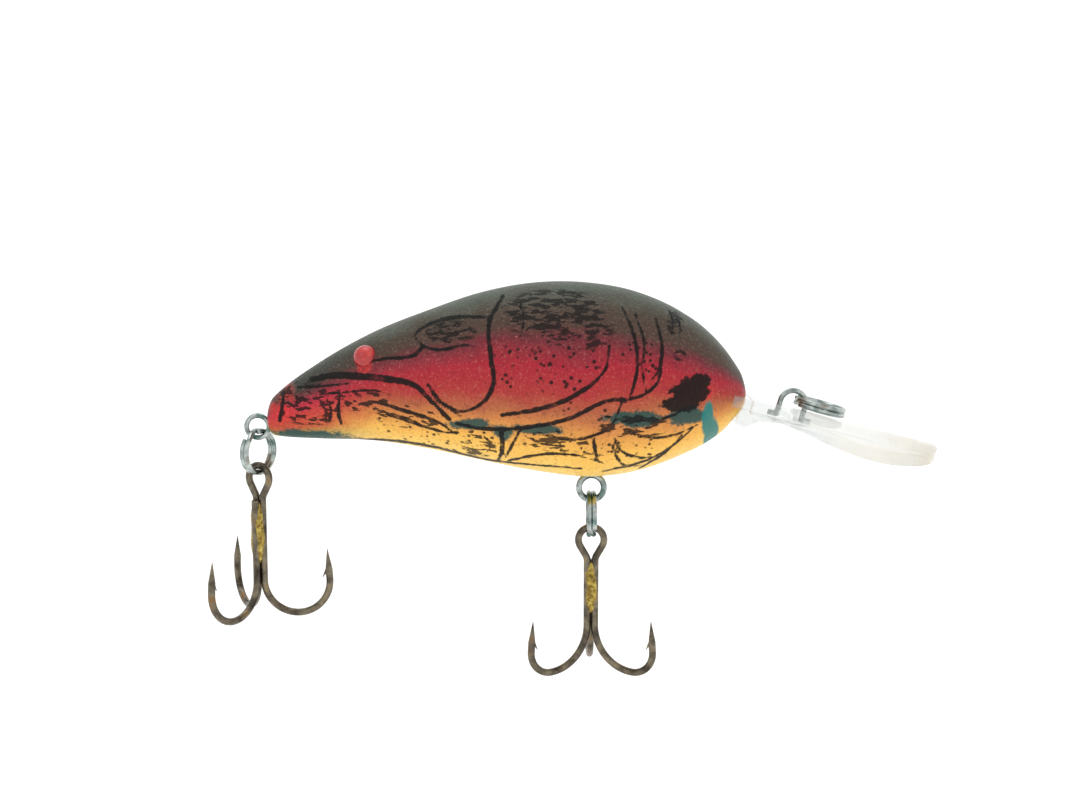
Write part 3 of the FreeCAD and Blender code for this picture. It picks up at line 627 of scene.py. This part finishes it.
BEAD_FLAT = 0.90
BEAD_SIDES = 48
BEAD_POLE = 0.94
POLE_DIP = 0.02 * MM
for side, eye in ((1, "left_eye"), (-1, "right_eye")):
    eye_low, eye_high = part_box(eye)
    bead_radius = (eye_high.x - eye_low.x) / 2
    outer = eye_high.y if side > 0 else eye_low.y
    bead_middle = Vector(
        (eye_low.x + bead_radius, outer - side * bead_radius, eye_high.z - bead_radius)
    )
    bead = bmesh.new()
    bmesh.ops.create_uvsphere(
        bead, u_segments=BEAD_SIDES, v_segments=BEAD_SIDES // 2, radius=bead_radius
    )
    crown = [v for v in bead.verts if v.co.z > bead_radius * BEAD_POLE]
    bmesh.ops.translate(bead, verts=crown, vec=(0, 0, -POLE_DIP))
    bmesh.ops.scale(bead, verts=bead.verts, vec=(1, 1, BEAD_FLAT))
    facing_out = Matrix.Rotation(-side * math.pi / 2, 3, "X")
    bmesh.ops.rotate(bead, verts=bead.verts, matrix=facing_out)
    outward = Vector((0, side * bead_radius * (1 - BEAD_FLAT), 0))
    bmesh.ops.translate(bead, verts=bead.verts, vec=bead_middle + outward)
    bmesh.ops.smooth_vert(
        bead,
        verts=bead.verts,
        factor=0.3,
        use_axis_x=True,
        use_axis_y=True,
        use_axis_z=True,
    )
    finished(eye + "_bead", bead, bead_glaze, "lure", (eye,))

# ---------------------------------------------------------------------------------------------
# The diving lip: one clear moulding whose tongue is welded into the chin, with a keel under its
# root. Age has yellowed its rim, and fine scratches haze the blade.
# ---------------------------------------------------------------------------------------------
lip_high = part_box("diving_lip")[1]
clear_lip = Finish(
    "clear_lip", Roughness=0.03, IOR=1.3, Transmission_Weight=0.62, Specular_IOR_Level=0.7
)
reach = clear_lip.along("X")
edge = clear_lip.along("Y")
out_from_middle = edge.maths("ABSOLUTE", edge)
aged = (reach + (clear_lip.grain(4 * MM) - 0.5) * 5 * MM).step(7 * MM, lip_high.x) * 0.5
rim = out_from_middle.step(7.5 * MM, lip_high.y) * 0.35
clear_lip.feed(
    Base_Color=aged.maths("MAXIMUM", aged, rim).over(colour("d6dbd8"), colour("c8a64e")),
    Roughness=clear_lip.grain(0.8 * MM, 5).step(0.5, 0.8) * 0.06 + 0.01,
    Alpha=0.55 + aged * 0.45,
)
hairlines = clear_lip.grain(1.5 * MM, 4, 0.6, clear_lip.stretched(0.15, 1, 1))
clear_lip.rough(hairlines, 0.01 * MM)
clear_lip.on_node("diving_lip")

# ---------------------------------------------------------------------------------------------
# The wires that show outside the body: the line tie, a bent staple moulded into the lip, and the
# two figure-eight hook hangers pinched between the halves. All are plated, with a greenish bloom.
# ---------------------------------------------------------------------------------------------
plated_wire = Finish("plated_wire", Metallic=1.0)
bloom = plated_wire.grain(1.8 * MM, 2, 0.5)
tarnish = plated_wire.grain(1.2 * MM, 3, 0.6)
bright = plated_wire.ramp(tarnish, (0.3, "5b6462"), (0.6, "b2bab6"))
plated_wire.feed(
    Base_Color=(bloom.step(0.52, 0.66) * 0.7).over(bright, colour("2f5a55")),
    Roughness=tarnish * 0.28 + 0.12,
)
plated_wire.rough(plated_wire.grain(0.3 * MM), 0.006 * MM)
plated_wire.on_node("line_tie_loop", "belly_hanger", "tail_hanger")

# ---------------------------------------------------------------------------------------------
# The split rings: spring wire wound nearly two turns, flat against itself, with a short jog where
# one turn crosses to the next and a cut end on each face.
# ---------------------------------------------------------------------------------------------
RING_WIRE = 0.58 * MM
RING_SIDES = 14
FLAT_TURN = 318
JOG_TURN = 42
TURN_STEPS_PER_DEGREE = 0.34
TURN_PITCH = RING_WIRE * 0.92

ring_steel = Finish("ring_steel", Metallic=1.0)
ring_dull = ring_steel.grain(1.3 * MM, 2, 0.5)
ring_bloom = ring_steel.grain(2.4 * MM, 2, 0.5)
ring_bright = ring_steel.ramp(ring_dull, (0.3, "6b7472"), (0.62, "bcc4c0"))
browned = (ring_bloom.step(0.54, 0.66) * 0.75).over(ring_bright, colour("6d5238"))
ring_steel.feed(
    Base_Color=((1 - ring_bloom.step(0.34, 0.50)) * 0.75).over(browned, colour("2b5a55")),
    Roughness=ring_dull * 0.2 + 0.12,
)
ring_steel.rough(ring_steel.grain(0.3 * MM), 0.006 * MM)


def split_ring(name, node, body, middle, axis, outside, start):
    """A two-turn ring of an outside width round an axis, its cut end at the angle start."""
    bend = outside / 2 - RING_WIRE / 2
    shape = bmesh.new()
    bmesh.ops.create_circle(shape, cap_ends=True, radius=RING_WIRE / 2, segments=RING_SIDES)
    bmesh.ops.rotate(shape, verts=shape.verts, matrix=Matrix.Rotation(math.pi / 2, 3, "X"))
    bmesh.ops.translate(shape, verts=shape.verts, vec=(bend, 0, -TURN_PITCH / 2))
    bmesh.ops.rotate(shape, verts=shape.verts, matrix=Matrix.Rotation(start, 3, "Z"))
    tip = shape.verts[:] + shape.edges[:] + shape.faces[:]
    for degrees, climb in ((FLAT_TURN, 0), (JOG_TURN, TURN_PITCH), (FLAT_TURN, 0)):
        steps = round(degrees * TURN_STEPS_PER_DEGREE)
        tip = bmesh.ops.spin(
            shape,
            geom=tip,
            cent=(0, 0, 0),
            axis=(0, 0, 1),
            dvec=(0, 0, climb / steps),
            angle=math.radians(degrees),
            steps=steps,
        )["geom_last"]
    turned = Vector((0, 0, 1)).rotation_difference(axis).to_matrix()
    bmesh.ops.rotate(shape, verts=shape.verts, matrix=turned)
    bmesh.ops.translate(shape, verts=shape.verts, vec=middle)
    bmesh.ops.remove_doubles(shape, verts=shape.verts, dist=0.001 * MM)
    bmesh.ops.recalc_face_normals(shape, faces=shape.faces)
    finished(name, shape, ring_steel, body, (node,))


def middle_of(node):
    low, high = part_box(node)
    return (low + high) / 2


joints = {joint["name"]: joint for joint in frame["joints"]}
tail_ring_axis = Vector(joints["tail_hook_swing"]["axis"])
belly_low, belly_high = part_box("belly_split_ring")
split_ring(
    "belly_spiral_ring",
    "belly_split_ring",
    "belly_ring",
    middle_of("belly_split_ring"),
    Vector((1, 0, 0)),
    belly_high.z - belly_low.z,
    math.radians(-12),
)
tail_low, tail_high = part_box("tail_split_ring")
split_ring(
    "tail_spiral_ring",
    "tail_split_ring",
    "tail_ring",
    middle_of("tail_split_ring"),
    tail_ring_axis,
    tail_high.z - tail_low.z,
    math.radians(200),
)
LIP_PITCH = math.radians(15)
line_low, line_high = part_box("line_split_ring")
split_ring(
    "line_spiral_ring",
    "line_split_ring",
    "line_ring",
    middle_of("line_split_ring"),
    Vector((math.sin(LIP_PITCH), 0, math.cos(LIP_PITCH))),
    line_high.y - line_low.y,
    math.radians(205),
)

# ---------------------------------------------------------------------------------------------
# The treble hooks: each is a double hook bent from one wire round its eye, with a single hook laid
# in its groove and brazed to it. High-carbon wire, browned, with brass run between the shanks.
# ---------------------------------------------------------------------------------------------
bronzed = Finish("bronzed_hook_wire", Metallic=1.0)
lacquer = bronzed.grain(1.3 * MM, 4, 0.6)
worn = bronzed.grain(0.35 * MM, 4, 0.7)
brown = bronzed.ramp(
    lacquer, (0.28, "37322c"), (0.46, "5f584c"), (0.60, "7d7462"), (0.76, "94784a")
)
rubbed = (worn.step(0.6, 0.75) * 0.4).over(brown, colour("2a2521"))
rusted = bronzed.grain(2.6 * MM, 5, 0.7).step(0.57, 0.66)
bronzed.feed(
    Base_Color=(rusted * 0.55).over(rubbed, colour("6b4a33")),
    Roughness=worn * 0.3 + 0.16,
)
bronzed.rough(worn * 0.6 + rusted * lacquer, 0.04 * MM)
for treble in ("belly_treble", "tail_treble"):
    bronzed.on_node(treble + "_double_hook", treble + "_single_hook")

brass = Finish("run_brass", Metallic=1.0)
run = brass.grain(0.7 * MM, 4, 0.65)
scale = brass.grain(0.3 * MM, 3).step(0.5, 0.7)
gold = brass.ramp(run, (0.3, "5b4a28"), (0.5, "9c8440"), (0.7, "c9b866"))
brass.feed(Base_Color=(scale * 0.6).over(gold, colour("4a3a2a")), Roughness=0.2 + scale * 0.35)
brass.rough(run, 0.08 * MM)

BRAZE_SIDES = 40
RUN_FULLNESS = 0.55
RIPPLE_LONG = 0.55 * MM
RIPPLE_WIDE = 0.3 * MM
for treble, body, wide_run, deep_run, off_axis in (
    ("belly_treble", "belly_hook", 0.72 * MM, 0.52 * MM, -0.22 * MM),
    ("tail_treble", "tail_hook", 0.80 * MM, 0.80 * MM, 0),
):
    braze_low, braze_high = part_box(treble + "_braze")
    run_of_brass = bmesh.new()
    bmesh.ops.create_uvsphere(
        run_of_brass, u_segments=BRAZE_SIDES, v_segments=BRAZE_SIDES * 2, radius=1
    )
    half_long = (braze_high.z - braze_low.z) / 2
    for point in run_of_brass.verts:
        point.co.z = math.copysign(abs(point.co.z) ** RUN_FULLNESS, point.co.z)
    bmesh.ops.scale(run_of_brass, verts=run_of_brass.verts, vec=(wide_run, deep_run, half_long))
    for point in run_of_brass.verts:
        ripple = math.sin(point.co.z / RIPPLE_LONG + point.co.x / RIPPLE_WIDE)
        point.co.x *= 1 + 0.06 * ripple
        point.co.y *= 1 + 0.05 * ripple
    bmesh.ops.translate(
        run_of_brass,
        verts=run_of_brass.verts,
        vec=(braze_low + braze_high) / 2 + Vector((0, off_axis, 0)),
    )
    finished(treble + "_brass_run", run_of_brass, brass, body, (treble + "_braze",))
